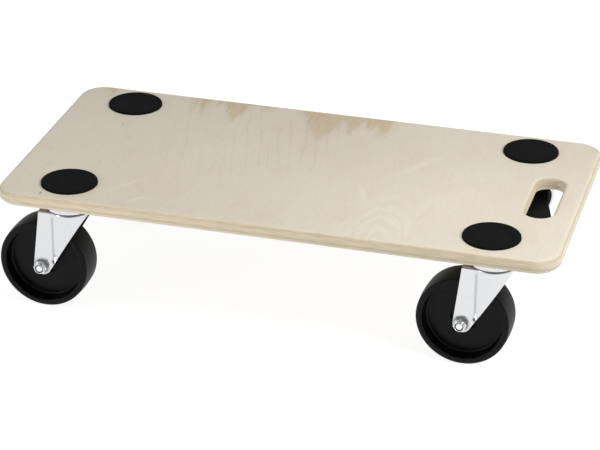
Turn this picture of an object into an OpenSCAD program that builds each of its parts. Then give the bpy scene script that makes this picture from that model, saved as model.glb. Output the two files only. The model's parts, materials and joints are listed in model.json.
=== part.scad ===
// Furniture dolly: a plywood deck with a hand hole, four rubber pads on top
// and four bolt-hole swivel casters below.
// The origin is the centre of the deck's flat load face, with +Z up and +X
// towards the hand hole. The floor lies a deck and a caster below it.
// Every caster is drawn about its own swivel axis, with z = 0 on the underside
// of the deck and the wheel trailing towards -X, and is then turned and placed.

/* [Deck] */
// Length of the plywood deck
deck_l = 600; // [480:10:900]
// Width of the deck
deck_w = 300; // [240:10:480]
// Thickness of the deck
deck_t = 15; // [13:0.5:24]
// Plan radius of the deck's corners
corner_r = 27; // [12:1:40]
// Round-over of the deck's outer edges
edge_r = 6; // [1:0.5:6]

/* [Hand hole] */
// Length of the hole across the deck
slot_l = 96; // [76:1:130]
// Width of the hole
slot_w = 30; // [22:1:38]
// Distance from the deck's end to the middle of the hole
slot_inset = 40; // [32:1:60]
// Round-over of the hole's edges
slot_edge_r = 5; // [1:0.5:6]

/* [Pads] */
// Diameter of the rubber pads
pad_d = 60; // [48:1:72]
// Thickness of the pads
pad_t = 4; // [3:0.5:6]
// How deep the pads sit in the deck
pad_sink = 1.5; // [1:0.5:2.5]
// Rounding of the pads' upper edge
pad_edge_r = 0.8; // [0.3:0.1:1.2]
// Play round a pad in its pocket
pad_gap = 0.25; // [0.1:0.05:0.5]
// How far the pads at the hand hole's end sit inboard of the swivel axes
hole_end_shift = 3.5; // [0:0.5:8]

/* [Caster places] */
// Distance from the deck's ends to the swivel axes
end_inset = 71.5; // [60:0.5:110]
// Distance from the deck's long sides to the swivel axes
side_inset = 43; // [41:1:80]

/* [Wheel] */
// Diameter of the wheels
wheel_d = 100; // [75:1:125]
// Width of the tread
wheel_w = 34; // [30:1:42]
// Radius of the crown across the tread
crown_arc_r = 150; // [90:5:300]
// Rounding of the tread's shoulders
shoulder_r = 4; // [2:0.5:5]
// Radial thickness of the rim at its face
rim_t = 7.5; // [6.5:0.5:10]
// Draft angle of the rim's inner wall
rim_draft = 6; // [2:0.5:8]
// Rounding of the rim's inner edge
rim_edge_r = 1; // [0.5:0.1:1.5]
// Fillet between the rim and the web
rim_root_r = 2; // [1:0.5:3]
// Thickness of the web between hub and rim
web_t = 9; // [8:0.5:14]
// Radius of the hub
hub_r = 10.5; // [9:0.5:13]
// Width of the moat round the hub
moat_w = 4.5; // [2:0.5:6]
// Depth of the moat below the web's face
moat_depth = 2.5; // [1:0.5:3]
// How far the hub stands out past the tread on each side
hub_proud = 0.75; // [0.5:0.25:2]
// Diameter of the ejector marks on the web
mark_d = 7.5; // [5:0.5:9]
// Depth of the ejector marks
mark_depth = 0.3; // [0.2:0.1:0.6]
// Distance of the ejector marks' middles inside the rim
mark_inset = 6; // [5:0.5:12]
// Number of ejector marks
mark_n = 4; // [3:1:8]

/* [Fork] */
// Distance of the axle behind the swivel axis
trail = 27; // [20:0.5:34]
// Height from the wheel's top to the underside of the deck
head_room = 28; // [26:1:40]
// Thickness of the fork's sheet steel
sheet_t = 2.5; // [2:0.25:3]
// Bulge of the fork's round flanks outside its flat legs
flank_bulge = 3.5; // [3:0.5:7]
// Outer radius of the bend between crown and legs
bend_r = 3.2; // [3.1:0.1:4]
// Radius of the rounded ends of the legs
leg_end_r = 9.6; // [8.5:0.1:12]
// How far the middle of a leg's rounded end lies ahead of the axle
leg_end_shift = 0.9; // [0:0.1:2]
// Length of the crown behind the swivel axis
crown_rear = 28; // [24:1:34]
// How far the crown's front edge starts ahead of the round flanks
front_lead = 1.25; // [0.5:0.25:4]
// Diameter of the pinch mark at the lower end of each valley between leg and flank
pinch_d = 1.8; // [1:0.2:3]
// Height of the pinch marks above the axle
pinch_rise = 7; // [6:0.5:12]
// Play between the hub and each leg
hub_gap = 0.5; // [0.3:0.1:1]

/* [Axle] */
// Diameter of the axle bolt
axle_d = 8; // [6:1:10]
// Width across flats of its head and nut
axle_af = 13; // [10:1:17]
// Height of the bolt's head
axle_head_h = 5.3; // [4:0.1:7]
// Height of the nut's hexagon
axle_nut_h = 5.2; // [4.5:0.1:7]
// Height of the nut's locking collar
collar_h = 2.6; // [2:0.1:3.5]
// Diameter of the locking collar
collar_d = 11.4; // [9:0.1:14]
// How far the bolt's end lies inside the locking collar's end
axle_tip_drop = 0.4; // [0.2:0.1:1]
// Outer diameter of the sleeve that the wheel turns on
sleeve_d = 12; // [10:0.5:14]
// Radial running clearance of the wheel on its sleeve
run_gap = 0.08; // [0.03:0.01:0.1]
// Radial play of the bolt in the fork and in the sleeve
axle_gap = 0.1; // [0.05:0.05:0.3]

/* [Swivel head] */
// Height of the bearing cup
cup_h = 11; // [10:0.5:14]
// Thickness of the cup's sheet steel
cup_t = 2.5; // [2:0.25:3]
// Rounding of the cup's upper shoulder
cup_shoulder_r = 3; // [1:0.5:4]
// How far the cup stands out past the fork's round flanks
cup_lip = 1.5; // [0:0.25:3]
// Gap between the cup's rim and the fork
cup_gap = 1; // [0.5:0.25:2]
// Wall beside the upper ball groove in the cup
track_wall = 0.6; // [0.4:0.1:1]
// Diameter of the upper balls
upper_ball_d = 5; // [4:0.5:5.5]
// Distance of the upper ball track inside the fork's round flanks
upper_track_inset = 5.75; // [5.5:0.25:7]
// How deep the upper balls lie in the fork
upper_sink = 1; // [0.5:0.1:1.2]
// Diameter of the lower balls
lower_ball_d = 3.5; // [3:0.5:4]
// Radius of the lower ball track
lower_track_r = 13.2; // [12.8:0.1:13.6]
// How deep the lower balls lie in the fork and in their race
lower_sink = 0.8; // [0.5:0.1:1]
// Clearance round the balls in their grooves
ball_gap = 0.3; // [0.2:0.05:0.4]
// Least distance between two balls of a ring
ball_space = 0.6; // [0.3:0.1:2]
// Thickness of the lower race
race_t = 2.5; // [2:0.25:3]
// Radius of the lower race
race_r = 17.5; // [17:0.5:18.5]
// Outer diameter of the tube rivet
rivet_d = 18; // [16:0.5:18.5]
// Radial play of the fork on the rivet
rivet_gap = 0.4; // [0.2:0.05:0.6]
// Radial play of the cup and lower race on the rivet
seat_gap = 0.05; // [0.02:0.01:0.1]

/* [King bolt] */
// Diameter of the king bolt
king_d = 10; // [8:1:12]
// Diameter of its flat head
king_head_d = 24; // [20:0.5:28]
// Height of its flat head
king_head_h = 4; // [3:0.5:5]
// Width across flats of the socket in its head
socket_af = 6; // [5:1:8]
// Depth of that socket
socket_depth = 2.2; // [1.5:0.1:2.5]
// Width across flats of the king nut
king_af = 17; // [13:1:19]
// Height of the king nut
king_nut_h = 7; // [5:0.5:8]
// Length of the bolt's end past its nut
king_tip = 1; // [0.5:0.5:2]
// Radial play of the king bolt in the deck and in the rivet
king_gap = 0.15; // [0.1:0.05:0.4]
// Radial play of the king bolt's head in the deck
head_gap = 0.5; // [0.3:0.1:1]

/* [Fasteners] */
// Radial play between a bolt and its nut's thread
thread_gap = 0.05; // [0.02:0.01:0.1]
// Chamfer of bolt ends and of nut corners
fastener_chamfer = 0.8; // [0.4:0.1:1]

/* [Caster headings at rest] */
// Turn of the front left caster
turn_fl = 359; // [0:1:359]
// Turn of the front right caster
turn_fr = 358; // [0:1:359]
// Turn of the rear left caster
turn_rl = 270; // [0:1:359]
// Turn of the rear right caster
turn_rr = 308; // [0:1:359]
// Turn of the front left wheel on its axle
spin_fl = 15; // [0:1:359]
// Turn of the front right wheel
spin_fr = 37; // [0:1:359]
// Turn of the rear left wheel
spin_rl = 70; // [0:1:359]
// Turn of the rear right wheel
spin_rr = 50; // [0:1:359]

/* [Hidden] */
$fn = 96;
arc_fn = 360; // for the tread's large crown arc
ball_fn = 48;
over = 1; // how far a cut runs past the face it opens
hair = 0.02;
wheel_r = wheel_d / 2;
caster_h = wheel_d + head_room;
axle_z = wheel_r - caster_h;
hub_half = wheel_w / 2 + hub_proud;
leg_in = hub_half + hub_gap;
leg_out = leg_in + sheet_t;
flank_r = leg_out + flank_bulge;
valley_x = sqrt(pow(flank_r, 2) - pow(leg_out, 2)); // where a flank leaves a flat leg
cup_r = flank_r + cup_lip;
upper_track_r = flank_r - upper_track_inset;
crown_top = -(cup_h + cup_gap);
crown_low = crown_top - sheet_t;
upper_ball_z = crown_top + upper_ball_d / 2 - upper_sink;
lower_ball_z = crown_low - lower_ball_d / 2 + lower_sink;
race_top = lower_ball_z - lower_ball_d / 2 + lower_sink;
race_low = race_top - race_t;
king_nut_low = race_low - king_nut_h;
collar_chamfer = 0.6;
socket_r = socket_af / 2 / cos(30);

// Corner name, side along X, side along Y, caster's heading and wheel's turn
CORNERS = [
    ["fl", -1, -1, turn_fl, spin_fl],
    ["fr", 1, -1, turn_fr, spin_fr],
    ["rl", -1, 1, turn_rl, spin_rl],
    ["rr", 1, 1, turn_rr, spin_rr]
];

// Middle of a leg's rounded end, seen from the side
LEG_END = [leg_end_shift - trail, axle_z];

// Where the line from point p meets the leg's end circle, on the side given.
// It is drawn tangent to a hair smaller circle, so that the two cross cleanly.
function leg_tangent(p, side) =
    let (d = p - LEG_END)
    let (r = leg_end_r - hair)
    let (turn = atan2(d[1], d[0]) + side * acos(r / norm(d)))
    LEG_END + r * [cos(turn), sin(turn)];

// Distance of the rim's inner wall from the wheel's axis, y off its middle plane
function rim_wall(y) = wheel_r - rim_t - (wheel_w / 2 - y) * tan(rim_draft);

// Middle of the rounding of the rim's inner edge
function rim_edge() =
    let (y = wheel_w / 2 - rim_edge_r)
    [rim_wall(y) + rim_edge_r / cos(rim_draft), y];

// ---- helpers ----

// Places its children on the swivel axis of one corner, on the load face
module at_corner(c) {
    translate([c[1] * (deck_l / 2 - end_inset), c[2] * (deck_w / 2 - side_inset), 0])
        children();
}

// Places its children on the middle of one pad, on the load face
module at_pad(c) {
    translate([c[1] > 0 ? -hole_end_shift : 0, 0, 0])
        at_corner(c)
            children();
}

// Places its children under the deck at one corner, turned to its heading
module at_caster(c) {
    at_corner(c)
        translate([0, 0, -deck_t])
            rotate([0, 0, c[3]])
                children();
}

// Places its children on the axle, with their z along the axle
module on_axle() {
    translate([-trail, 0, axle_z])
        rotate([90, 0, 0])
            children();
}

// Section of width w and height h, with rounded outer corners on the +X side
module half_slab(w, h, r) {
    square([w - r, h]);
    translate([0, r])
        square([w, h - 2 * r]);
    for (y = [r, h - r])
        translate([w - r, y])
            circle(r);
}

// The same section on both sides of the Y axis
module slab_section(w, h, r) {
    for (side = [0, 1])
        mirror([side, 0])
            half_slab(w / 2, h, r);
}

// Hexagonal prism with chamfered corners, standing on z = 0
module hex_body(af, h) {
    corner = af / 2 / cos(30);
    corner_cut = 2 * fastener_chamfer;
    intersection() {
        cylinder(h = h, r = corner, $fn = 6);
        union() {
            cylinder(h = h - fastener_chamfer, r = corner + over);
            translate([0, 0, h - fastener_chamfer])
                cylinder(h = fastener_chamfer, r1 = corner, r2 = corner - corner_cut);
        }
    }
}

// Round shank with a chamfered end, standing on z = 0
module shank(d, l) {
    cylinder(h = l - fastener_chamfer, d = d);
    translate([0, 0, l - fastener_chamfer])
        cylinder(h = fastener_chamfer, d1 = d, d2 = d - 2 * fastener_chamfer);
}

// Ring of as many balls as the track holds
module ball_ring(d, track_r, z) {
    n = floor(2 * PI * track_r / (d + ball_space));
    for (i = [0:n - 1])
        rotate([0, 0, i * 360 / n])
            translate([track_r, 0, z])
                sphere(d = d, $fn = ball_fn);
}

// Groove that a ring of balls runs in
module ball_groove(d, track_r, z) {
    translate([0, 0, z])
        rotate_extrude()
            translate([track_r, 0])
                circle(d / 2 + ball_gap);
}

// ---- deck and pads ----

// Board with rounded corners and edges, from z = -deck_t to 0
module board() {
    cx = deck_l / 2 - corner_r;
    cy = deck_w / 2 - corner_r;
    translate([0, 0, -deck_t]) {
        translate([-cx, 0, 0])
            rotate([90, 0, 90])
                linear_extrude(2 * cx)
                    slab_section(deck_w, deck_t, edge_r);
        translate([0, cy, 0])
            rotate([90, 0, 0])
                linear_extrude(2 * cy)
                    slab_section(deck_l, deck_t, edge_r);
        for (i = [0:3])
            translate([(i == 0 || i == 3 ? 1 : -1) * cx, (i < 2 ? 1 : -1) * cy, 0])
                rotate([0, 0, 90 * i])
                    rotate_extrude(angle = 90)
                        half_slab(corner_r, deck_t, edge_r);
    }
}

// Half section of the hand hole, flared to leave rounded edges on the board
module slot_section() {
    flare = slot_w / 2 + slot_edge_r;
    difference() {
        translate([0, -deck_t - over])
            square([flare, deck_t + 2 * over]);
        translate([slot_w / 2, slot_edge_r - deck_t])
            square([slot_edge_r + over, deck_t - 2 * slot_edge_r]);
        for (z = [-slot_edge_r, slot_edge_r - deck_t])
            translate([flare, z])
                circle(slot_edge_r);
    }
}

module slot_cut() {
    run = slot_l - slot_w;
    translate([deck_l / 2 - slot_inset, 0, 0]) {
        translate([0, run / 2, 0])
            rotate([90, 0, 0])
                linear_extrude(run)
                    for (side = [0, 1])
                        mirror([side, 0])
                            slot_section();
        for (side = [-1, 1])
            translate([0, side * run / 2, 0])
                rotate_extrude()
                    slot_section();
    }
}

module deck() {
    color("#dfd6c4")
        difference() {
            board();
            slot_cut();
            for (c = CORNERS) {
                at_pad(c)
                    translate([0, 0, -pad_sink])
                        cylinder(h = pad_sink + over, r = pad_d / 2 + pad_gap);
                at_corner(c) {
                    translate([0, 0, -pad_sink - king_head_h])
                        cylinder(h = king_head_h + over, r = king_head_d / 2 + head_gap);
                    translate([0, 0, -deck_t - over])
                        cylinder(h = deck_t + over, r = king_d / 2 + king_gap);
                }
            }
        }
}

module pad(c) {
    color("#1c1c1c")
        at_pad(c)
            translate([0, 0, -pad_sink])
                rotate_extrude() {
                    square([pad_d / 2 - pad_edge_r, pad_t]);
                    square([pad_d / 2, pad_t - pad_edge_r]);
                    translate([pad_d / 2 - pad_edge_r, pad_t - pad_edge_r])
                        circle(pad_edge_r);
                }
}

// ---- what fixes a caster to the deck ----

module king_bolt(c) {
    head_low = -pad_sink - king_head_h;
    color("#b9bdc2")
        at_corner(c)
            difference() {
                union() {
                    translate([0, 0, head_low])
                        cylinder(h = king_head_h, d = king_head_d);
                    rotate([180, 0, 0])
                        translate([0, 0, -head_low])
                            shank(king_d, head_low + deck_t - king_nut_low + king_tip);
                }
                translate([0, 0, -pad_sink - socket_depth])
                    cylinder(h = socket_depth + over, r = socket_r, $fn = 6);
            }
}

module king_nut(c) {
    color("#b9bdc2")
        at_caster(c)
            translate([0, 0, race_low])
                rotate([180, 0, 0])
                    difference() {
                        hex_body(king_af, king_nut_h);
                        translate([0, 0, -over])
                            cylinder(h = king_nut_h + 2 * over, r = king_d / 2 + thread_gap);
                    }
}

module bearing_cup(c) {
    bore_r = rivet_d / 2 + seat_gap;
    groove_r = upper_ball_d / 2 + ball_gap;
    track_half = groove_r + track_wall;
    track_low = upper_ball_z + upper_sink;
    color("#c9cdd1")
        at_caster(c)
            rotate_extrude()
                difference() {
                    union() {
                        translate([bore_r, -cup_t])
                            square([cup_r - cup_shoulder_r - bore_r, cup_t]);
                        translate([cup_r - cup_t, -cup_h])
                            square([cup_t, cup_h - cup_shoulder_r]);
                        intersection() {
                            translate([cup_r - cup_shoulder_r, -cup_shoulder_r])
                                circle(cup_shoulder_r);
                            translate([cup_r - cup_shoulder_r, -cup_shoulder_r])
                                square(cup_shoulder_r);
                        }
                        translate([upper_track_r - track_half, track_low])
                            square([2 * track_half, -track_low - cup_t / 2]);
                    }
                    translate([upper_track_r, upper_ball_z])
                        circle(groove_r);
                }
}

module tube_rivet(c) {
    bore_r = king_d / 2 + king_gap;
    color("#b9bdc2")
        at_caster(c)
            translate([0, 0, race_low])
                difference() {
                    cylinder(h = -race_low, d = rivet_d);
                    translate([0, 0, -over])
                        cylinder(h = 2 * over - race_low, r = bore_r);
                }
}

module bearing_balls(c) {
    color("#d8dadc")
        at_caster(c) {
            ball_ring(upper_ball_d, upper_track_r, upper_ball_z);
            ball_ring(lower_ball_d, lower_track_r, lower_ball_z);
        }
}

module lower_race(c) {
    color("#b9bdc2")
        at_caster(c)
            difference() {
                translate([0, 0, race_low])
                    cylinder(h = race_t, r = race_r);
                translate([0, 0, race_low - over])
                    cylinder(h = race_t + 2 * over, r = rivet_d / 2 + seat_gap);
                ball_groove(lower_ball_d, lower_track_r, lower_ball_z);
            }
}

// ---- fork ----

// Half section of the fork's round part: crown, bend and flank
module flank_section(r, top, bend, low) {
    translate([0, low])
        square([r, top - bend - low]);
    translate([0, low])
        square([r - bend, top - low]);
    translate([r - bend, top - bend])
        circle(bend);
}

// Section of the fork's flat part across the wheel: crown, bends and legs
module leg_section(half, top, bend, low) {
    for (side = [0, 1])
        mirror([side, 0])
            flank_section(half, top, bend, low);
}

// One skin of the fork, solid inside: round in front, flat behind
module fork_skin(r, half, top, bend, low, rear) {
    rotate_extrude()
        flank_section(r, top, bend, low);
    translate([-rear, 0, 0])
        rotate([90, 0, 90])
            linear_extrude(rear)
                leg_section(half, top, bend, low);
}

// Side outline of the fork: tangents from the crown down to the legs' ends
module fork_outline() {
    rear_top = [-crown_rear, crown_top + over];
    front_top = [flank_r + front_lead, crown_top + over];
    polygon([
        rear_top,
        front_top,
        leg_tangent(front_top, -1),
        LEG_END,
        leg_tangent(rear_top, 1)
    ]);
}

// Crown, flanks and legs down to the axle, with solid metal inside
module fork_blank(foot, reach) {
    intersection() {
        fork_skin(flank_r, leg_out, crown_top, bend_r, foot, reach);
        translate([0, flank_r + over, 0])
            rotate([90, 0, 0])
                linear_extrude(2 * (flank_r + over))
                    fork_outline();
    }
}

module fork(c) {
    foot = axle_z - leg_end_r - over;
    reach = trail + leg_end_r + 2 * over;
    color("#d9dbe0")
        at_caster(c)
            difference() {
                union() {
                    difference() {
                        fork_blank(foot, reach);
                        fork_skin(
                            flank_r - sheet_t,
                            leg_in,
                            crown_low,
                            bend_r - sheet_t,
                            foot - over,
                            reach + over
                        );
                    }
                    on_axle()
                        for (z = [-leg_out, leg_in])
                            translate([leg_end_shift, 0, z])
                                cylinder(h = sheet_t, r = leg_end_r);
                }
                for (side = [-1, 1])
                    translate([-valley_x, side * leg_out, axle_z + pinch_rise])
                        sphere(d = pinch_d);
                translate([0, 0, crown_low - over])
                    cylinder(h = sheet_t + 2 * over, r = rivet_d / 2 + rivet_gap);
                ball_groove(upper_ball_d, upper_track_r, upper_ball_z);
                ball_groove(lower_ball_d, lower_track_r, lower_ball_z);
                on_axle()
                    translate([0, 0, -leg_out - over])
                        cylinder(h = 2 * (leg_out + over), r = axle_d / 2 + axle_gap);
            }
}

// ---- axle and wheel ----

module axle_bolt(c) {
    color("#c9cdd1")
        at_caster(c)
            on_axle() {
                translate([0, 0, -leg_out])
                    rotate([180, 0, 0])
                        hex_body(axle_af, axle_head_h);
                translate([0, 0, -leg_out])
                    shank(axle_d, 2 * leg_out + axle_nut_h + collar_h - axle_tip_drop);
            }
}

module axle_nut(c) {
    color("#c9cdd1")
        at_caster(c)
            on_axle()
                translate([0, 0, leg_out])
                    difference() {
                        union() {
                            hex_body(axle_af, axle_nut_h);
                            translate([0, 0, axle_nut_h - over])
                                cylinder(h = collar_h + over - collar_chamfer, d = collar_d);
                            translate([0, 0, axle_nut_h + collar_h - collar_chamfer])
                                cylinder(
                                    h = collar_chamfer,
                                    d1 = collar_d,
                                    d2 = collar_d - 2 * collar_chamfer
                                );
                        }
                        translate([0, 0, -over])
                            cylinder(
                                h = axle_nut_h + collar_h + 2 * over,
                                r = axle_d / 2 + thread_gap
                            );
                    }
}

module axle_sleeve(c) {
    color("#b9bdc2")
        at_caster(c)
            on_axle()
                translate([0, 0, -leg_in])
                    difference() {
                        cylinder(h = 2 * leg_in, d = sleeve_d);
                        translate([0, 0, -over])
                            cylinder(h = 2 * (leg_in + over), r = axle_d / 2 + axle_gap);
                    }
}

// Section of the rim with its fillets at the web, but without its rounded inner edges.
// The fillets' circles cross web and wall by a hair, so that they join cleanly.
module rim_section() {
    half = wheel_w / 2;
    edge = rim_edge();
    low = edge + rim_edge_r * [-cos(rim_draft), sin(rim_draft)];
    root_y = web_t / 2 + rim_root_r - hair;
    root_x = rim_wall(root_y) - (rim_root_r - hair) / cos(rim_draft);
    difference() {
        intersection() {
            translate([wheel_r - crown_arc_r, 0])
                circle(crown_arc_r, $fn = arc_fn);
            translate([0, -half])
                half_slab(wheel_r, wheel_w, shoulder_r);
            polygon([
                [edge[0], -half],
                [low[0], -low[1]],
                [rim_wall(root_y), -root_y],
                [root_x, -root_y],
                [root_x, root_y],
                [rim_wall(root_y), root_y],
                low,
                [edge[0], half],
                [wheel_r + over, half],
                [wheel_r + over, -half]
            ]);
        }
        for (side = [-1, 1])
            translate([root_x, side * root_y])
                circle(rim_root_r);
    }
}

// Half section of the wheel, x outwards from its axis and y along its axis
module wheel_section() {
    bore_r = sleeve_d / 2 + run_gap;
    moat_r = hub_r + moat_w;
    hub_mid = (bore_r + hub_r) / 2;
    translate([bore_r, -hub_half])
        square([hub_r - bore_r, 2 * hub_half]);
    translate([hub_mid, moat_depth - web_t / 2])
        square([moat_r + over - hub_mid, web_t - 2 * moat_depth]);
    translate([moat_r, -web_t / 2])
        square([rim_wall(0) + over - moat_r, web_t]);
    rim_section();
    for (side = [-1, 1])
        translate([rim_edge()[0], side * rim_edge()[1]])
            circle(rim_edge_r);
}

module wheel(c) {
    mark_r = rim_wall(web_t / 2) - mark_inset;
    color("#1e1f20")
        at_caster(c)
            on_axle()
                difference() {
                    rotate_extrude()
                        wheel_section();
                    for (side = [0, 1])
                        mirror([0, 0, side])
                            for (i = [0:mark_n - 1])
                                rotate([0, 0, c[4] + i * 360 / mark_n])
                                    translate([mark_r, 0, web_t / 2 - mark_depth])
                                        cylinder(h = mark_depth + over, d = mark_d);
                }
}

// ---- the dolly ----

deck();
pad(CORNERS[0]);  // pad_fl
pad(CORNERS[1]);  // pad_fr
pad(CORNERS[2]);  // pad_rl
pad(CORNERS[3]);  // pad_rr
king_bolt(CORNERS[0]);  // king_bolt_fl
king_bolt(CORNERS[1]);  // king_bolt_fr
king_bolt(CORNERS[2]);  // king_bolt_rl
king_bolt(CORNERS[3]);  // king_bolt_rr
bearing_cup(CORNERS[0]);  // bearing_cup_fl
bearing_cup(CORNERS[1]);  // bearing_cup_fr
bearing_cup(CORNERS[2]);  // bearing_cup_rl
bearing_cup(CORNERS[3]);  // bearing_cup_rr
tube_rivet(CORNERS[0]);  // tube_rivet_fl
tube_rivet(CORNERS[1]);  // tube_rivet_fr
tube_rivet(CORNERS[2]);  // tube_rivet_rl
tube_rivet(CORNERS[3]);  // tube_rivet_rr
bearing_balls(CORNERS[0]);  // bearing_balls_fl
bearing_balls(CORNERS[1]);  // bearing_balls_fr
bearing_balls(CORNERS[2]);  // bearing_balls_rl
bearing_balls(CORNERS[3]);  // bearing_balls_rr
lower_race(CORNERS[0]);  // lower_race_fl
lower_race(CORNERS[1]);  // lower_race_fr
lower_race(CORNERS[2]);  // lower_race_rl
lower_race(CORNERS[3]);  // lower_race_rr
king_nut(CORNERS[0]);  // king_nut_fl
king_nut(CORNERS[1]);  // king_nut_fr
king_nut(CORNERS[2]);  // king_nut_rl
king_nut(CORNERS[3]);  // king_nut_rr
fork(CORNERS[0]);  // fork_fl
fork(CORNERS[1]);  // fork_fr
fork(CORNERS[2]);  // fork_rl
fork(CORNERS[3]);  // fork_rr
axle_bolt(CORNERS[0]);  // axle_bolt_fl
axle_bolt(CORNERS[1]);  // axle_bolt_fr
axle_bolt(CORNERS[2]);  // axle_bolt_rl
axle_bolt(CORNERS[3]);  // axle_bolt_rr
axle_nut(CORNERS[0]);  // axle_nut_fl
axle_nut(CORNERS[1]);  // axle_nut_fr
axle_nut(CORNERS[2]);  // axle_nut_rl
axle_nut(CORNERS[3]);  // axle_nut_rr
axle_sleeve(CORNERS[0]);  // axle_sleeve_fl
axle_sleeve(CORNERS[1]);  // axle_sleeve_fr
axle_sleeve(CORNERS[2]);  // axle_sleeve_rl
axle_sleeve(CORNERS[3]);  // axle_sleeve_rr
wheel(CORNERS[0]);  // wheel_fl
wheel(CORNERS[1]);  // wheel_fr
wheel(CORNERS[2]);  // wheel_rl
wheel(CORNERS[3]);  // wheel_rr
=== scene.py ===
import json
import math

import bpy
from mathutils import Matrix, Quaternion, Vector


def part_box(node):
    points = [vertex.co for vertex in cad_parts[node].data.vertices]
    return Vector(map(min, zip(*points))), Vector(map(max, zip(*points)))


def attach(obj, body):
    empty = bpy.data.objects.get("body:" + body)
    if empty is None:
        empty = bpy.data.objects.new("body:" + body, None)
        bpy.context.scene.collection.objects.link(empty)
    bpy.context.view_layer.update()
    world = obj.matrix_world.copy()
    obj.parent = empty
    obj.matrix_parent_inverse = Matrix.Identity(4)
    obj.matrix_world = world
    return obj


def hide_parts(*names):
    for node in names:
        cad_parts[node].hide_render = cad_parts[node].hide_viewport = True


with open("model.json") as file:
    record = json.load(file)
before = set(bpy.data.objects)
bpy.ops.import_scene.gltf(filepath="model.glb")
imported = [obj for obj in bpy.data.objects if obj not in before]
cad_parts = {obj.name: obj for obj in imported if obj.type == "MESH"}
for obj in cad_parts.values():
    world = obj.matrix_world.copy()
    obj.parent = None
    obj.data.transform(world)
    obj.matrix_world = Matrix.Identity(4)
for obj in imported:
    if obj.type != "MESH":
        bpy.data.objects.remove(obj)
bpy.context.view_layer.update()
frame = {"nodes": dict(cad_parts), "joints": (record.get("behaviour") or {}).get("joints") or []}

mm = 0.001
corners = ["fl", "fr", "rl", "rr"]
joints = {joint["name"]: joint for joint in frame["joints"]}
deckLow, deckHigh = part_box("deck")
deckThick = deckHigh.z - deckLow.z
deckTop = deckHigh.z
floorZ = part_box("wheel_fl")[0].z
print("frame loaded:", len(frame["nodes"]), "nodes")


# ---- node helpers ----

def addNode(tree, kind, inputs=None, **settings):
    made = tree.nodes.new("ShaderNode" + kind)
    for key, value in settings.items():
        setattr(made, key, value)
    for key, value in (inputs or {}).items():
        if isinstance(value, bpy.types.NodeSocket):
            tree.links.new(value, made.inputs[key])
        else:
            made.inputs[key].default_value = value
    return made


def calc(tree, operation, a, b=0.0, c=0.0):
    return addNode(tree, "Math", {0: a, 1: b, 2: c}, operation=operation).outputs[0]


def fade(tree, value, start, end, low=0.0, high=1.0):
    # smooth step from low at start to high at end
    made = addNode(tree, "MapRange", {"Value": value, "From Min": start, "From Max": end,
                                      "To Min": low, "To Max": high}, interpolation_type="SMOOTHSTEP")
    return made.outputs["Result"]


def spread(tree, value, low, high):
    # a noise value, which lies around 0.5, spread over low to high
    made = addNode(tree, "MapRange", {"Value": value, "From Min": 0.25, "From Max": 0.75,
                                      "To Min": low, "To Max": high})
    return made.outputs["Result"]


def stretch(tree, vector, scale, location=(0, 0, 0), turn=(0, 0, 0), kind="POINT"):
    made = addNode(tree, "Mapping", {"Vector": vector, "Location": location,
                                     "Rotation": turn, "Scale": scale}, vector_type=kind)
    return made.outputs["Vector"]


def noise(tree, vector, scale, detail=3.0, rough=0.55, warp=0.0):
    made = addNode(tree, "TexNoise", {"Vector": vector, "Scale": scale, "Detail": detail,
                                      "Roughness": rough, "Distortion": warp})
    return made.outputs["Fac"]


def mixColour(tree, amount, a, b, kind="MIX"):
    made = addNode(tree, "Mix", {0: amount, 6: a, 7: b}, data_type="RGBA", blend_type=kind)
    return made.outputs[2]


def mixFloat(tree, amount, a, b):
    return addNode(tree, "Mix", {0: amount, 2: a, 3: b}).outputs[0]


def mixVector(tree, amount, a, b):
    made = addNode(tree, "Mix", {0: amount, 4: a, 5: b}, data_type="VECTOR")
    return made.outputs[1]


def brighten(tree, colour, value):
    grey = addNode(tree, "CombineXYZ", {0: value, 1: value, 2: value})
    return mixColour(tree, 1.0, colour, grey.outputs[0], kind="MULTIPLY")


def distance(tree, vector):
    return addNode(tree, "VectorMath", {0: vector}, operation="LENGTH").outputs["Value"]


def flatten(tree, vector):
    return addNode(tree, "VectorMath", {0: vector, 1: (1, 1, 0)}, operation="MULTIPLY").outputs[0]


def alongAxle(tree, here, corner, joint):
    # coordinates about a caster's joint, with Y along its axle
    axis = Vector(joints["wheel_spin_" + corner]["axis"])
    return stretch(tree, here, (1, 1, 1), location=joints[joint + corner]["pos_m"],
                   turn=(0, 0, math.atan2(-axis.x, axis.y)), kind="TEXTURE")


def addBump(tree, surface, height, strength, reach, below=None):
    inputs = {"Height": height, "Strength": strength, "Distance": reach}
    if below is not None:
        inputs["Normal"] = below
    made = addNode(tree, "Bump", inputs)
    tree.links.new(made.outputs[0], surface.inputs["Normal"])
    return made.outputs[0]


def startMaterial(name, **shader):
    made = bpy.data.materials.new(name)
    made.use_nodes = True
    tree = made.node_tree
    tree.nodes.clear()
    surface = addNode(tree, "BsdfPrincipled", shader)
    addNode(tree, "OutputMaterial", {"Surface": surface.outputs[0]})
    where = addNode(tree, "TexCoord")
    return made, tree, surface, where


def link(tree, value, surface, socket):
    tree.links.new(value, surface.inputs[socket])


# ---- birch plywood ----

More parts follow.
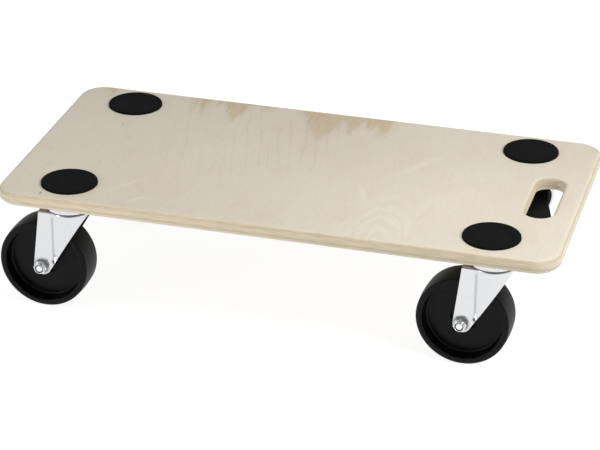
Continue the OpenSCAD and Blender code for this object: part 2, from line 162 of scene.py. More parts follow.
plywood = {
    "plies": 9,
    "tones": [1.00, 0.86, 1.0, 1.0, 0.98, 0.80, 0.98, 1.0, 1.02],
    "face": (0.735, 0.665, 0.545, 1),
    "edge": (0.74, 0.64, 0.465, 1),
    "endFace": (0.75, 0.67, 0.53, 1),
    # painted shade: the underside's colour stands in for the shade beneath the deck
    "undersideShade": (0.34, 0.285, 0.195, 1),
    "glue": 0.66,
    "endGrain": 0.95,
    "holeShade": (0.62, 0.53, 0.375, 1),
    "stain": (0.61, 0.49, 0.32, 1),
    "line": (0.64, 0.545, 0.36, 1),
    "pale": (0.80, 0.755, 0.65, 1),
    # waves per metre of fibres and of broader streaks: across the grain, along it
    "fibre": (1400, 60),
    "streak": (300, 34),
    # flame lines: how strong, slanted and close they are, and where they begin and are whole on three sides
    "flame": 0.38,
    "flameSlant": 0.22,
    "flameScale": 26.0,
    "flameLeft": (-0.235, -0.12),
    "flameRight": (0.075, 0.0),
    "flameFront": (-0.095, 0.04),
    # pale rings: how strong, how far they reach, their spacing and the shift of their middle
    "rings": 0.7,
    "ringReach": (0.055, 0.020),
    "ringSpacing": 10.134 * mm,
    "ringShift": (-0.112, 0.062, 0),
    "blush": (0.75, 0.63, 0.51, 1),
    "knot": (0.30, 0.19, 0.10, 1),
    # tongues of heart stain that run in from the rear edge: X and Y of the tip, half width, lean
    "tongues": [(-0.265, 0.115, 0.007, 0.00), (-0.165, 0.100, 0.006, 0.00), (-0.152, 0.098, 0.009, 0.05),
                (-0.138, 0.122, 0.008, 0.00), (-0.112, 0.089, 0.019, 0.08), (-0.082, 0.127, 0.008, 0.05),
                (-0.005, 0.062, 0.030, 0.12), (0.023, 0.088, 0.015, 0.05), (0.042, 0.107, 0.017, 0.00),
                (0.058, 0.086, 0.011, 0.02)],
    # pale glints of slanted grain: X, Y, heading, half width, half length
    "glints": [(-0.170, -0.095, -0.65, 0.0035, 0.024), (-0.148, -0.125, -0.80, 0.0030, 0.020),
               (0.075, -0.045, 0.35, 0.0040, 0.026), (0.118, 0.040, -0.55, 0.0060, 0.034)],
    # the hand hole's strip: from the board's end, and to each side of its centre line
    "holeFrom": 0.078,
    "holeTo": 0.032,
    "holeHalf": 0.060,
    # painted shade: the face darkens towards the left and the rear, where less light falls
    "shadeLeft": 0.94,
    "shadeRear": 0.93,
    # painted light and shade: the long edges are lighter at the left end and darker at the hand hole's end
    "litEnd": 1.13,
    "shadedEnd": 0.88,
    # knot and dark hairlines: X, Y, half width, half length
    "marks": [(-0.249, -0.1385, 0.0012, 0.0040), (-0.2243, 0.0520, 0.0004, 0.0060),
              (-0.2145, -0.0494, 0.0004, 0.0030)],
}


def grainSpace(tree, vector, along, waves):
    # stretched across the board where along is 0, and along it where that is 1
    close, wide = waves
    across = stretch(tree, vector, (close, wide, close))
    lengthwise = stretch(tree, vector, (wide, close, close))
    return mixVector(tree, along, across, lengthwise)


def makePlywood():
    made, tree, surface, where = startMaterial("birchPlywood", **{"Specular IOR Level": 0.3})
    here = where.outputs["Object"]
    axes = addNode(tree, "SeparateXYZ", {0: here}).outputs
    facing = addNode(tree, "SeparateXYZ", {0: where.outputs["Normal"]}).outputs

    # counted from the top, odd plies run across the board and even ones along it
    depth = calc(tree, "DIVIDE", calc(tree, "SUBTRACT", deckTop, axes[2]), deckThick)
    phase = calc(tree, "MULTIPLY", depth, plywood["plies"])
    ply = calc(tree, "FLOOR", phase)
    along = calc(tree, "MODULO", ply, 2.0)
    fromMiddle = calc(tree, "ABSOLUTE", calc(tree, "SUBTRACT", calc(tree, "FRACT", phase), 0.5))
    inside = calc(tree, "COMPARE", depth, 0.5, 0.5 - 0.5 / plywood["plies"])
    glue = calc(tree, "MULTIPLY", fade(tree, fromMiddle, 0.42, 0.5), inside)
    tones = addNode(tree, "ValToRGB", {0: depth})
    ramp = tones.color_ramp
    ramp.interpolation = "CONSTANT"
    while len(ramp.elements) < plywood["plies"]:
        ramp.elements.new(0.5)
    for index, tone in enumerate(plywood["tones"]):
        ramp.elements[index].position = index / plywood["plies"]
        shade = tone / 1.25
        ramp.elements[index].color = (shade, shade, shade, 1)
    plyTone = calc(tree, "MULTIPLY", tones.outputs[0], 1.25)

    # fibres follow each ply's own direction
    shifted = addNode(tree, "VectorMath", {0: here, 1: addNode(tree, "CombineXYZ", {2: ply}).outputs[0]},
                      operation="ADD").outputs[0]
    fibre = noise(tree, grainSpace(tree, shifted, along, plywood["fibre"]), 1.0, 4.0, 0.6)
    streak = noise(tree, grainSpace(tree, shifted, along, plywood["streak"]), 1.0, 3.0, 0.6)

    # slanted ray flecks on the sawn and rounded edges
    slanted = stretch(tree, here, (60, 60, 950), turn=(0.10, -0.10, 0))
    fleck = noise(tree, slanted, 1.0, 2.0)

    # broad cloudiness of the face
    cloud = noise(tree, stretch(tree, here, (9, 5, 0)), 1.0, 3.0, 0.5, 0.4)
    haze = noise(tree, stretch(tree, here, (34, 16, 0), location=(3.1, 1.7, 0)), 1.0, 4.0, 0.6, 0.8)

    # flame lines of the heartwood, drifting towards +X as they leave the rear edge
    leaning = calc(tree, "MULTIPLY_ADD", axes[1], plywood["flameSlant"], axes[0])
    bent = addNode(tree, "CombineXYZ", {0: leaning, 1: calc(tree, "MULTIPLY", axes[1], 0.11)}).outputs[0]
    wave = addNode(tree, "TexWave", {"Vector": bent, "Scale": plywood["flameScale"], "Distortion": 9.0,
                                     "Detail": 3.0, "Detail Scale": 1.2, "Detail Roughness": 0.6})
    wave = wave.outputs["Fac"]
    thin = fade(tree, wave, 0.95, 1.0)
    beside = fade(tree, wave, 0.55, 0.88)
    patchAt = stretch(tree, here, (24, 6, 0), location=(7, 2, 0))
    patchy = fade(tree, noise(tree, patchAt, 1.0, 2.0), 0.40, 0.60)
    window = calc(tree, "MULTIPLY", fade(tree, axes[0], *plywood["flameLeft"]),
                  fade(tree, axes[0], *plywood["flameRight"]))
    window = calc(tree, "MULTIPLY", window, fade(tree, axes[1], *plywood["flameFront"]))
    window = calc(tree, "MULTIPLY", window, patchy)
    flame = calc(tree, "MULTIPLY", thin, window)
    redness = calc(tree, "MULTIPLY", beside, window)

    # the stains themselves: tongues that widen towards the rear edge
    wander = spread(tree, noise(tree, stretch(tree, here, (60, 22, 0)), 1.0, 3.0, 0.6), -0.004, 0.004)
    ragged = calc(tree, "ADD", spread(tree, streak, -0.004, 0.004), wander)
    stainX = calc(tree, "ADD", axes[0], ragged)
    stain = 0.0
    for tipX, tipY, half, lean in plywood["tongues"]:
        inward = calc(tree, "SUBTRACT", axes[1], tipY)
        share = addNode(tree, "MapRange", {"Value": inward, "From Max": deckHigh.y - tipY})
        share = share.outputs["Result"]
        wide = calc(tree, "MULTIPLY", calc(tree, "POWER", share, 0.85), half)
        middle = calc(tree, "MULTIPLY_ADD", inward, -lean, tipX)
        side = calc(tree, "ABSOLUTE", calc(tree, "SUBTRACT", stainX, middle))
        beyond = calc(tree, "SUBTRACT", side, wide)
        halo = fade(tree, beyond, 0.009, -0.004, 0.0, 0.4)
        strip = calc(tree, "MAXIMUM", fade(tree, beyond, 0.0022, -0.0050), halo)
        stain = calc(tree, "MAXIMUM", stain, calc(tree, "MULTIPLY", strip, fade(tree, share, 0.0, 0.12)))
    stain = calc(tree, "MULTIPLY", stain, fade(tree, axes[1], 0.06, 0.135, 0.6, 1.0))

    # pale flame rings at the hole's end
    ringAt = stretch(tree, here, (1.0, 0.42, 0), location=plywood["ringShift"])
    ringDistance = distance(tree, ringAt)
    warpedRing = calc(tree, "MULTIPLY_ADD", haze, 0.022, ringDistance)
    rings = calc(tree, "SINE", calc(tree, "MULTIPLY", warpedRing, 2 * math.pi / plywood["ringSpacing"]))
    ringHere = fade(tree, ringDistance, *plywood["ringReach"])
    rings = calc(tree, "MULTIPLY", calc(tree, "MULTIPLY_ADD", rings, 0.5, 0.5), ringHere)

    colour = mixColour(tree, spread(tree, cloud, 0.0, 0.55), plywood["face"], plywood["pale"])
    colour = mixColour(tree, fade(tree, haze, 0.50, 0.72, 0.0, 0.5), colour, plywood["blush"])
    colour = mixColour(tree, calc(tree, "MULTIPLY", rings, plywood["rings"]), colour, plywood["pale"])
    mottle = noise(tree, stretch(tree, here, (330, 120, 0)), 1.0, 3.0, 0.6)
    colour = mixColour(tree, fade(tree, mottle, 0.45, 0.75, 0.0, 0.55), colour, plywood["blush"])
    colour = mixColour(tree, fade(tree, mottle, 0.50, 0.25, 0.0, 0.22), colour, plywood["line"])
    colour = mixColour(tree, calc(tree, "MULTIPLY", redness, 0.35), colour, plywood["blush"])
    colour = mixColour(tree, calc(tree, "MULTIPLY", flame, plywood["flame"]), colour, plywood["line"])
    stain = calc(tree, "MULTIPLY", stain, spread(tree, streak, 0.40, 1.10))
    colour = mixColour(tree, stain, colour, plywood["stain"])
    for x, y, heading, halfWide, halfLong in plywood["glints"]:
        inGlint = stretch(tree, here, (halfWide, halfLong, 1), location=(x, y, 0), turn=(0, 0, heading),
                          kind="TEXTURE")
        far = distance(tree, flatten(tree, inGlint))
        far = calc(tree, "ADD", far, spread(tree, mottle, -0.7, 0.7))
        colour = mixColour(tree, fade(tree, far, 1.4, 0.0, 0.0, 0.7), colour, plywood["pale"])
    for x, y, halfWide, halfLong in plywood["marks"]:
        spot = stretch(tree, here, (1 / halfWide, 1 / halfLong, 0),
                       location=(-x / halfWide, -y / halfLong, 0))
        far = calc(tree, "ADD", distance(tree, spot), spread(tree, fibre, -0.3, 0.3))
        onFace = fade(tree, depth, 0.12, 0.05)
        dark = calc(tree, "MULTIPLY", fade(tree, far, 1.4, 0.2), onFace)
        colour = mixColour(tree, calc(tree, "MULTIPLY", dark, 0.7), colour, plywood["knot"])

    # edges are yellower, with the plies, glue lines and end grain showing
    upright = calc(tree, "ABSOLUTE", facing[2])
    edgeShare = fade(tree, upright, 0.985, 0.80)
    holeLow, holeHigh = deckHigh.x - plywood["holeFrom"], deckHigh.x - plywood["holeTo"]
    byHole = calc(tree, "MULTIPLY", fade(tree, axes[0], holeLow, holeLow + 4 * mm),
                  fade(tree, axes[0], holeHigh, holeHigh - 4 * mm))
    fromCentre = calc(tree, "ABSOLUTE", axes[1])
    byHole = calc(tree, "MULTIPLY", byHole,
                  fade(tree, fromCentre, plywood["holeHalf"], plywood["holeHalf"] - 4 * mm))
    facingEnd = calc(tree, "ABSOLUTE", facing[0])
    facingSide = calc(tree, "ABSOLUTE", facing[1])
    endShare = mixFloat(tree, along, facingSide, facingEnd)
    edgeColour = mixColour(tree, facingEnd, plywood["edge"], plywood["endFace"])
    # painted shade: the hand hole's wall darkens deeper below the top face, standing in for the shade inside
    # the hole
    shadedWall = mixColour(tree, fade(tree, depth, 0.08, 0.35), plywood["endFace"], plywood["holeShade"])
    edgeColour = mixColour(tree, byHole, edgeColour, shadedWall)
    colour = mixColour(tree, edgeShare, colour, edgeColour)
    # painted shade: the underside is darkened to stand in for the shade beneath the deck
    colour = mixColour(tree, fade(tree, facing[2], -0.6, -0.95), colour, plywood["undersideShade"])
    edgeTone = calc(tree, "MULTIPLY", plyTone, spread(tree, fleck, 0.84, 1.10))
    # painted light and shade along the long edges, lighter at the left end and darker at the hole's end
    edgeLightFall = fade(tree, axes[0], -0.26, 0.28, plywood["litEnd"], plywood["shadedEnd"])
    edgeTone = calc(tree, "MULTIPLY", edgeTone, mixFloat(tree, facingSide, 1.0, edgeLightFall))
    edgeTone = calc(tree, "MULTIPLY", edgeTone, fade(tree, endShare, 0.2, 1.0, 1.0, plywood["endGrain"]))
    edgeTone = calc(tree, "MULTIPLY", edgeTone, fade(tree, glue, 0.0, 1.0, 1.0, plywood["glue"]))
    # painted shade: the face is darker towards the left and the rear
    faceShade = calc(tree, "MULTIPLY", fade(tree, axes[0], -0.05, 0.16, plywood["shadeLeft"], 1.02),
                    fade(tree, axes[1], -0.06, 0.15, 1.01, plywood["shadeRear"]))
    shade = mixFloat(tree, edgeShare, faceShade, edgeTone)
    shade = calc(tree, "MULTIPLY", shade, spread(tree, fibre, 0.955, 1.03))
    shade = calc(tree, "MULTIPLY", shade, spread(tree, streak, 0.975, 1.02))
    link(tree, brighten(tree, colour, shade), surface, "Base Color")
    link(tree, spread(tree, fibre, 0.66, 0.52), surface, "Roughness")
    grainBump = addBump(tree, surface, fibre, 0.35, 0.05 * mm)
    glueBump = calc(tree, "MULTIPLY", calc(tree, "MULTIPLY", glue, edgeShare), -1.0)
    addBump(tree, surface, glueBump, 0.4, 0.12 * mm, below=grainBump)
    return made


# ---- rubber pads ----

padRubber = {"colour": (0.0050, 0.0050, 0.0052, 1), "dust": (0.014, 0.0135, 0.0125, 1),
             # fine concentric rings round the pad's middle
             "ringStep": 2.2 * mm, "ringEnd": 19.0 * mm, "ringFade": 2.0 * mm}


def makeRubber(corner):
    made, tree, surface, where = startMaterial("padRubber_" + corner, **{"Specular IOR Level": 0.08})
    here = where.outputs["Object"]
    low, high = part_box("pad_" + corner)
    middle = (low + high) / 2
    onPad = stretch(tree, here, (1, 1, 1), location=(-middle.x, -middle.y, -middle.z))
    out = distance(tree, flatten(tree, onPad))
    ring = calc(tree, "SINE", calc(tree, "MULTIPLY", out, 2 * math.pi / padRubber["ringStep"]))
    ringEnd = padRubber["ringEnd"]
    ring = calc(tree, "MULTIPLY", ring, fade(tree, out, ringEnd, ringEnd - padRubber["ringFade"]))
    grain = noise(tree, here, 1500.0, 3.0, 0.6)
    pores = addNode(tree, "TexVoronoi", {"Vector": here, "Scale": 900.0}).outputs["Distance"]
    cloud = noise(tree, here, 60.0, 4.0, 0.6)
    dust = calc(tree, "MULTIPLY", fade(tree, grain, 0.52, 0.75), spread(tree, cloud, 0.1, 0.8))
    dust = calc(tree, "MAXIMUM", dust, fade(tree, ring, 0.2, 1.0, 0.0, 0.3))
    link(tree, mixColour(tree, dust, padRubber["colour"], padRubber["dust"]), surface, "Base Color")
    link(tree, spread(tree, cloud, 0.72, 0.88), surface, "Roughness")
    below = addBump(tree, surface, ring, 0.4, 0.10 * mm)
    below = addBump(tree, surface, pores, 0.5, 0.12 * mm, below=below)
    addBump(tree, surface, grain, 0.5, 0.10 * mm, below=below)
    return made


# ---- black moulded wheels ----

wheelPlastic = {"colour": (0.0014, 0.0014, 0.0015, 1), "scuff": (0.016, 0.0155, 0.015, 1),
                "smooth": 0.27, "rough": 0.37, "wear": 0.16}


def makeWheelPlastic(corner):
    made, tree, surface, where = startMaterial("wheelPlastic_" + corner, **{"Specular IOR Level": 0.145})
    inWheel = alongAxle(tree, where.outputs["Object"], corner, "wheel_spin_")
    axes = addNode(tree, "SeparateXYZ", {0: inWheel}).outputs
    low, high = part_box("wheel_" + corner)
    radius = (high.z - low.z) / 2
    flat = addNode(tree, "CombineXYZ", {0: axes[0], 1: axes[2]}).outputs[0]
    onTread = fade(tree, distance(tree, flat), radius - 5 * mm, radius - 1.5 * mm)
    angle = calc(tree, "ARCTAN2", axes[2], axes[0])
    rolled = addNode(tree, "CombineXYZ", {0: calc(tree, "MULTIPLY", angle, radius), 1: axes[1]}).outputs[0]
    scratch = noise(tree, stretch(tree, rolled, (90, 1500, 1)), 1.0, 4.0, 0.65)
    grain = noise(tree, inWheel, 1300.0, 3.0, 0.6)
    cloud = noise(tree, inWheel, 45.0, 4.0, 0.6)
    wear = calc(tree, "MULTIPLY", onTread, calc(tree, "MULTIPLY", fade(tree, scratch, 0.45, 0.7),
                                                spread(tree, cloud, 0.3, 1.0)))
    dusty = calc(tree, "MULTIPLY", fade(tree, cloud, 0.5, 0.75), 0.10)
    amount = calc(tree, "MAXIMUM", wear, dusty)
    colour = mixColour(tree, amount, wheelPlastic["colour"], wheelPlastic["scuff"])
    link(tree, colour, surface, "Base Color")
    rough = spread(tree, cloud, wheelPlastic["smooth"], wheelPlastic["rough"])
    rough = calc(tree, "ADD", rough, calc(tree, "MULTIPLY", onTread, wheelPlastic["wear"]))
    link(tree, rough, surface, "Roughness")
    below = addBump(tree, surface, grain, 0.25, 0.05 * mm)
    addBump(tree, surface, calc(tree, "MULTIPLY", scratch, onTread), 0.4, 0.08 * mm, below=below)
    return made


# ---- zinc and steel ----

# creaseShade: how dark the painted shade in creases and corners gets
zincSheet = {"light": (0.715, 0.722, 0.735, 1), "dull": (0.63, 0.635, 0.645, 1),
             "smooth": 0.15, "rough": 0.21, "drawn": 0.25, "creaseShade": 0.42}
zincBright = {"light": (0.86, 0.87, 0.885, 1), "dull": (0.70, 0.71, 0.72, 1),
              "smooth": 0.10, "rough": 0.20, "drawn": 0.10, "creaseShade": 0.70}
# the painted shade along the valley between a fork's leg and flank: how far the valley lies behind the
# swivel axis, and how dark the painted shade is along it and at its pinched end
forkShade = {"valley": 12.9 * mm, "halfWidth": 2.4 * mm, "depth": 0.74, "start": 5 * mm, "startFade": 3 * mm,
             "pit": 7 * mm, "pitRadius": 3.2 * mm, "pitCore": 1.28 * mm, "pitShadeTone": 0.35}


def valleyShade(tree, here, corner):
    # painted shade and reflection: the drawn valley is darkened as if shaded and mirroring something dark,
    # and its pinched end is darker still
    axes = addNode(tree, "SeparateXYZ", {0: alongAxle(tree, here, corner, "swivel_")}).outputs
    swivelHeight = joints["swivel_" + corner]["pos_m"][2]
    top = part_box("fork_" + corner)[1].z - swivelHeight - forkShade["start"]
    away = calc(tree, "ABSOLUTE", calc(tree, "ADD", axes[0], forkShade["valley"]))
    band = calc(tree, "MULTIPLY", fade(tree, away, forkShade["halfWidth"], 0.0),
                fade(tree, axes[2], top, top - forkShade["startFade"]))
    pitHeight = joints["wheel_spin_" + corner]["pos_m"][2] - swivelHeight + forkShade["pit"]
    fromPit = addNode(tree, "CombineXYZ", {0: away, 1: calc(tree, "SUBTRACT", axes[2], pitHeight)})
    fromPit = distance(tree, fromPit.outputs[0])
    pit = fade(tree, fromPit, forkShade["pitRadius"], forkShade["pitCore"], 1.0, forkShade["pitShadeTone"])
    return calc(tree, "MULTIPLY", fade(tree, band, 0.0, 1.0, 1.0, forkShade["depth"]), pit)


def makeZinc(name, finish, corner=None):
    made, tree, surface, where = startMaterial(name, Metallic=1.0)
    here = where.outputs["Object"]
    mottle = noise(tree, here, 420.0, 4.0, 0.6)
    cloud = noise(tree, here, 70.0, 3.0, 0.6)
    lines = noise(tree, stretch(tree, here, (2200, 2200, 130)), 1.0, 3.0, 0.6)
    amount = calc(tree, "MULTIPLY", spread(tree, mottle, 0.0, 0.5), spread(tree, cloud, 0.4, 1.0))
    # painted shade: ambient occlusion darkens creases, corners and the sheet round the nuts, standing in for
    # their shade; it also roughens them
    unshaded = addNode(tree, "AmbientOcclusion", {"Distance": 4 * mm}, samples=8).outputs["AO"]
    creaseShadeTone = fade(tree, unshaded, 0.60, 0.98, finish["creaseShade"], 1.0)
    plating = mixColour(tree, amount, finish["light"], finish["dull"])
    tone = creaseShadeTone
    # the forks also carry the painted shade and reflection of their valleys
    if corner is not None:
        tone = calc(tree, "MULTIPLY", creaseShadeTone, valleyShade(tree, here, corner))
    link(tree, brighten(tree, plating, tone), surface, "Base Color")
    rough = spread(tree, cloud, finish["smooth"], finish["rough"])
    rough = calc(tree, "ADD", rough, spread(tree, lines, -0.03, 0.05))
    rough = calc(tree, "ADD", rough, fade(tree, creaseShadeTone, 1.0, 0.5, 0.0, 0.35))
    link(tree, rough, surface, "Roughness")
    below = addBump(tree, surface, mottle, 0.18, 0.04 * mm)
    addBump(tree, surface, lines, finish["drawn"], 0.02 * mm, below=below)
    return made


ballSteel = {"light": (0.78, 0.79, 0.80, 1), "dull": (0.60, 0.60, 0.60, 1), "smooth": 0.06, "rough": 0.18}


def makeBallSteel():
    made, tree, surface, where = startMaterial("ballSteel", Metallic=1.0)
    film = noise(tree, where.outputs["Object"], 500.0, 3.0, 0.6)
    link(tree, mixColour(tree, film, ballSteel["light"], ballSteel["dull"]), surface, "Base Color")
    link(tree, spread(tree, film, ballSteel["smooth"], ballSteel["rough"]), surface, "Roughness")
    addBump(tree, surface, film, 0.1, 0.01 * mm)
    return made


def giveMaterial(name, material):
    mesh = frame["nodes"][name].data
    mesh.materials.clear()
    mesh.materials.append(material)


plywoodMaterial = makePlywood()
rubberMaterials = {corner: makeRubber(corner) for corner in corners}
sheetMaterial = makeZinc("zincSheet", zincSheet)
brightMaterial = makeZinc("zincBright", zincBright)
ballMaterial = makeBallSteel()
giveMaterial("deck", plywoodMaterial)
for corner in corners:
    giveMaterial("pad_" + corner, rubberMaterials[corner])
    giveMaterial("wheel_" + corner, makeWheelPlastic(corner))
    giveMaterial("bearing_balls_" + corner, ballMaterial)
    giveMaterial("fork_" + corner, makeZinc("forkZinc_" + corner, zincSheet, corner))
    for part in ["bearing_cup_", "lower_race_"]:
        giveMaterial(part + corner, sheetMaterial)
    for part in ["king_bolt_", "king_nut_", "tube_rivet_", "axle_bolt_", "axle_nut_", "axle_sleeve_"]:
        giveMaterial(part + corner, brightMaterial)
print("materials given")


# ---- turned pieces: rubber pads, axle nuts and their nylon rings ----

turned = {"sides": 96, "smoothBelow": 32}
pad = {"roundOver": 0.9 * mm, "dish": 0.15 * mm, "dishEdge": 25.0 * mm, "dishSlope": 4.0 * mm}
nut = {"acrossFlats": 13.0 * mm, "hexHeight": 5.2 * mm, "collarHeight": 2.6 * mm, "collarRadius": 5.7 * mm,
       "lipRadius": 4.75 * mm, "bore": 4.1 * mm, "chamfer": 0.55 * mm, "rootRadius": 0.35 * mm,
       # turn of each nut on its bolt, in degrees
       "turns": {"fl": 2, "fr": 15, "rl": 24, "rr": 9}}
nylon = {"inner": 4.02 * mm, "low": 6.1 * mm, "high": 6.85 * mm, "space": 0.02 * mm, "edge": 0.25 * mm,
         "colour": (0.012, 0.013, 0.016, 1), "worn": (0.03, 0.032, 0.036, 1)}


def turnPiece(name, profile, closed):
    # one ring is drawn along the profile; a closed profile meets itself, an open one is capped
    bpy.ops.object.select_all(action="DESELECT")
    radius, height = profile[0]
    bpy.ops.mesh.primitive_circle_add(vertices=turned["sides"], radius=radius)
    made = bpy.context.object
    made.name = name
    bpy.ops.object.mode_set(mode="EDIT")
    bpy.ops.mesh.select_all(action="SELECT")
    bpy.ops.transform.translate(value=(0, 0, height))
    if not closed:
        bpy.ops.mesh.edge_face_add()
        bpy.ops.mesh.select_all(action="SELECT")
        bpy.ops.mesh.duplicate()
    for nextRadius, nextHeight in profile[1:]:
        bpy.ops.mesh.extrude_edges_move(TRANSFORM_OT_translate={"value": (0, 0, nextHeight - height)})
        grow = nextRadius / radius
        bpy.ops.transform.resize(value=(grow, grow, 1))
        radius, height = nextRadius, nextHeight
    if not closed:
        bpy.ops.mesh.edge_face_add()
    bpy.ops.mesh.select_all(action="SELECT")
    bpy.ops.mesh.remove_doubles(threshold=0.000001)
    bpy.ops.mesh.normals_make_consistent(inside=False)
    bpy.ops.object.mode_set(mode="OBJECT")
    return made


def arc(middle, low, radius, start, end, steps):
    # points of a rounded corner about (middle, low)
    turns = [math.radians(start + (end - start) * step / steps) for step in range(steps + 1)]
    return [(middle + radius * math.cos(turn), low + radius * math.sin(turn)) for turn in turns]


def finishPiece(piece, material, body, place):
    bpy.ops.object.select_all(action="DESELECT")
    piece.select_set(True)
    bpy.context.view_layer.objects.active = piece
    piece.matrix_world = place
    bpy.ops.object.transform_apply(location=True, rotation=True, scale=True)
    bpy.ops.object.shade_smooth_by_angle(angle=math.radians(turned["smoothBelow"]))
    piece.data.materials.clear()
    piece.data.materials.append(material)
    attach(piece, body)


def makePad(corner):
    low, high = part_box("pad_" + corner)
    middle = (low + high) / 2
    radius = (high.x - low.x) / 2
    height = high.z - low.z
    edge = pad["roundOver"]
    profile = [(radius, 0.0)] + arc(radius - edge, height - edge, edge, 0, 90, 6)
    profile += [(pad["dishEdge"], height), (pad["dishEdge"] - pad["dishSlope"], height - pad["dish"])]
    piece = turnPiece("rubber_pad_" + corner, profile, False)
    place = Matrix.Translation((middle.x, middle.y, low.z))
    finishPiece(piece, rubberMaterials[corner], "deck", place)
    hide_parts("pad_" + corner)


def nutPlace(corner, height):
    # stands on the fork leg, with its axis along the axle
    spin = joints["wheel_spin_" + corner]
    low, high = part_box("axle_nut_" + corner)
    axle = Vector(spin["pos_m"])
    reach = (low + high) / 2 - axle
    outward = Vector(spin["axis"])
    if outward.dot(reach) < 0:
        outward = -outward
    foot = axle + outward * (reach.dot(outward) - height / 2)
    level = Vector((0, 0, 1)).cross(outward)
    place = Matrix((level, (0, 0, 1), outward)).transposed().to_4x4()
    place.translation = foot
    return place @ Matrix.Rotation(math.radians(nut["turns"][corner]), 4, "Z")


def cutHexagon(piece, point, top):
    # keeps what lies inside a hexagonal prism, and closes the mesh again
    bpy.ops.object.select_all(action="DESELECT")
    bpy.ops.mesh.primitive_cylinder_add(vertices=6, radius=point, depth=2 * top,
                                        rotation=(0, 0, math.radians(30)))
    prism = bpy.context.object
    bpy.ops.object.mode_set(mode="EDIT")
    bpy.ops.mesh.select_all(action="SELECT")
    bpy.ops.transform.translate(value=(0, 0, top / 2))
    bpy.ops.object.mode_set(mode="OBJECT")
    keep = piece.modifiers.new("hexagon", "BOOLEAN")
    keep.operation = "INTERSECT"
    keep.solver = "EXACT"
    keep.object = prism
    bpy.context.view_layer.objects.active = piece
    bpy.ops.object.modifier_apply(modifier=keep.name)
    bpy.data.objects.remove(prism)
    bpy.ops.object.mode_set(mode="EDIT")
    bpy.ops.mesh.select_all(action="SELECT")
    bpy.ops.mesh.remove_doubles(threshold=0.01 * mm)
    bpy.ops.mesh.normals_make_consistent(inside=False)
    bpy.ops.object.mode_set(mode="OBJECT")


def makeNut(corner):
    hexTop = nut["hexHeight"]
    top = hexTop + nut["collarHeight"]
    point = nut["acrossFlats"] / math.sqrt(3)
    cut = nut["chamfer"]
    lip = (nut["collarRadius"] - nut["lipRadius"]) / 2
    profile = [(nut["bore"], 0.0), (point - 2 * cut, 0.0), (point, cut), (point, hexTop - cut),
               (point - 2.2 * cut, hexTop)]
    root = nut["rootRadius"]
    profile += arc(nut["collarRadius"] + root, hexTop + root, root, 270, 180, 4)
    profile += arc(nut["collarRadius"] - lip, top - lip, lip, 0, 180, 10)
    profile += [(nut["lipRadius"], nylon["low"]), (nut["bore"], nylon["low"]), (nut["bore"], 0.0)]
    piece = turnPiece("lock_nut_" + corner, profile, True)
    cutHexagon(piece, point, top)
    place = nutPlace(corner, top)
    finishPiece(piece, brightMaterial, "swivel_" + corner, place)
    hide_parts("axle_nut_" + corner)
    return place


def makeNylonRing(corner, place):
    # sits inside the nut's collar, a little clear of it
    top = nylon["high"]
    foot = nylon["low"] + nylon["space"]
    outer = nut["lipRadius"] - nylon["space"]
    edge = nylon["edge"]
    profile = [(nylon["inner"], foot), (outer, foot), (outer, top)]
    profile += arc(nylon["inner"] + edge, top - edge, edge, 90, 180, 4)
    profile += [(nylon["inner"], foot)]
    ring = turnPiece("nylon_ring_" + corner, profile, True)
    finishPiece(ring, nylonMaterial, "swivel_" + corner, place)


def makeNylon():
    made, tree, surface, where = startMaterial("nylonRing", **{"Specular IOR Level": 0.35})
    film = noise(tree, where.outputs["Object"], 900.0, 3.0, 0.6)
    link(tree, mixColour(tree, film, nylon["colour"], nylon["worn"]), surface, "Base Color")
    link(tree, spread(tree, film, 0.35, 0.5), surface, "Roughness")
    addBump(tree, surface, film, 0.2, 0.02 * mm)
    return made


nylonMaterial = makeNylon()
for corner in corners:
    makePad(corner)
    makeNylonRing(corner, makeNut(corner))
print("pads, axle nuts and nylon rings modelled")


# ---- floor, light and camera ----

studio = {
    "floorSize": 30.0,
    "floorColour": (0.24, 0.24, 0.24, 1),
    "floorGlow": 0.89,
    "sky": (0.97, 0.985, 1.0, 1),
    "skyStrength": 0.46,
    "darkSide": 0.12,
    "lamps": [
        # name, place, target, width, height, power, colour
        ("overhead", (-0.2, 0.5, 2.3), (0, 0, 0), 2.6, 2.0, 10.0, (1.0, 0.99, 0.97)),
        ("rightBox", (1.20, -0.50, 1.05), (0.1, 0, -0.05), 0.9, 0.9, 17.0, (1.0, 0.99, 0.98)),
        ("leftBox", (-1.8, -1.7, 0.6), (-0.1, 0, -0.05), 0.7, 0.7, 9.0, (1.0, 1.0, 1.0)),
    ],
}
camera = {"place": (0.61755, -2.27417, 1.10291), "target": (-0.00526, 0.0, -0.06974), "roll": 0.484,
          "lens": 145.78, "sensor": 36.0}


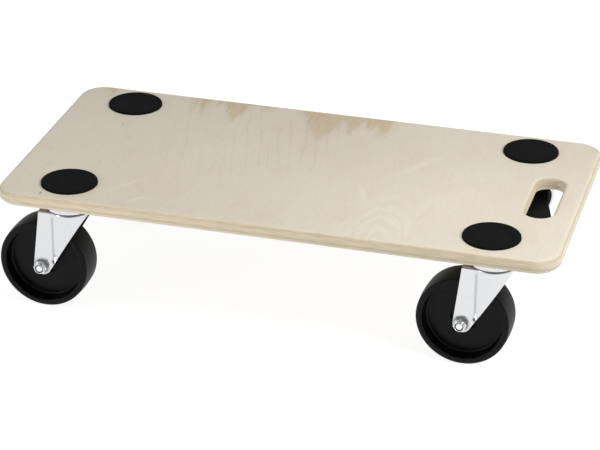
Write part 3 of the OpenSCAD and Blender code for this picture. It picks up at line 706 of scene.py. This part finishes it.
def makeFloor():
    bpy.ops.mesh.primitive_plane_add(size=studio["floorSize"], location=(0, 0, floorZ))
    floor = bpy.context.object
    floor.name = "floor"
    paint = startMaterial("floor", **{
        "Base Color": studio["floorColour"], "Roughness": 0.9, "Specular IOR Level": 0.1,
        "Emission Color": (1, 1, 1, 1), "Emission Strength": studio["floorGlow"]})[0]
    floor.data.materials.append(paint)


def makeWorld():
    world = bpy.data.worlds.new("studio")
    bpy.context.scene.world = world
    world.use_nodes = True
    tree = world.node_tree
    tree.nodes.clear()
    way = addNode(tree, "TexCoord").outputs["Generated"]
    towards = Vector(camera["place"]).normalized()
    near = addNode(tree, "VectorMath", {0: way, 1: towards}, operation="DOT_PRODUCT").outputs["Value"]
    strength = fade(tree, near, 0.80, 0.93, studio["skyStrength"], studio["darkSide"])
    sky = addNode(tree, "Background", {"Color": studio["sky"], "Strength": strength})
    addNode(tree, "OutputWorld", {"Surface": sky.outputs[0]})


def aim(thing, target):
    way = Vector(target) - thing.location
    thing.rotation_mode = "QUATERNION"
    thing.rotation_quaternion = way.to_track_quat("-Z", "Y")


def makeLamps():
    for name, spot, target, width, height, power, colour in studio["lamps"]:
        bpy.ops.object.light_add(type="AREA", location=spot)
        lamp = bpy.context.object
        lamp.name = name
        lamp.data.shape = "RECTANGLE"
        lamp.data.size = width
        lamp.data.size_y = height
        lamp.data.energy = power
        lamp.data.color = colour
        aim(lamp, target)


def makeCamera():
    bpy.ops.object.camera_add(location=camera["place"])
    eye = bpy.context.object
    eye.name = "camera"
    aim(eye, camera["target"])
    roll = Quaternion((0, 0, 1), math.radians(camera["roll"]))
    eye.rotation_quaternion = eye.rotation_quaternion @ roll
    eye.data.sensor_width = camera["sensor"]
    eye.data.lens = camera["lens"]
    eye.data.clip_start = 0.1
    eye.data.clip_end = 100.0
    bpy.context.scene.camera = eye


bpy.ops.object.select_all(action="DESELECT")
makeFloor()
makeWorld()
makeLamps()
makeCamera()
bpy.context.scene.view_settings.view_transform = "Standard"
print("studio ready")
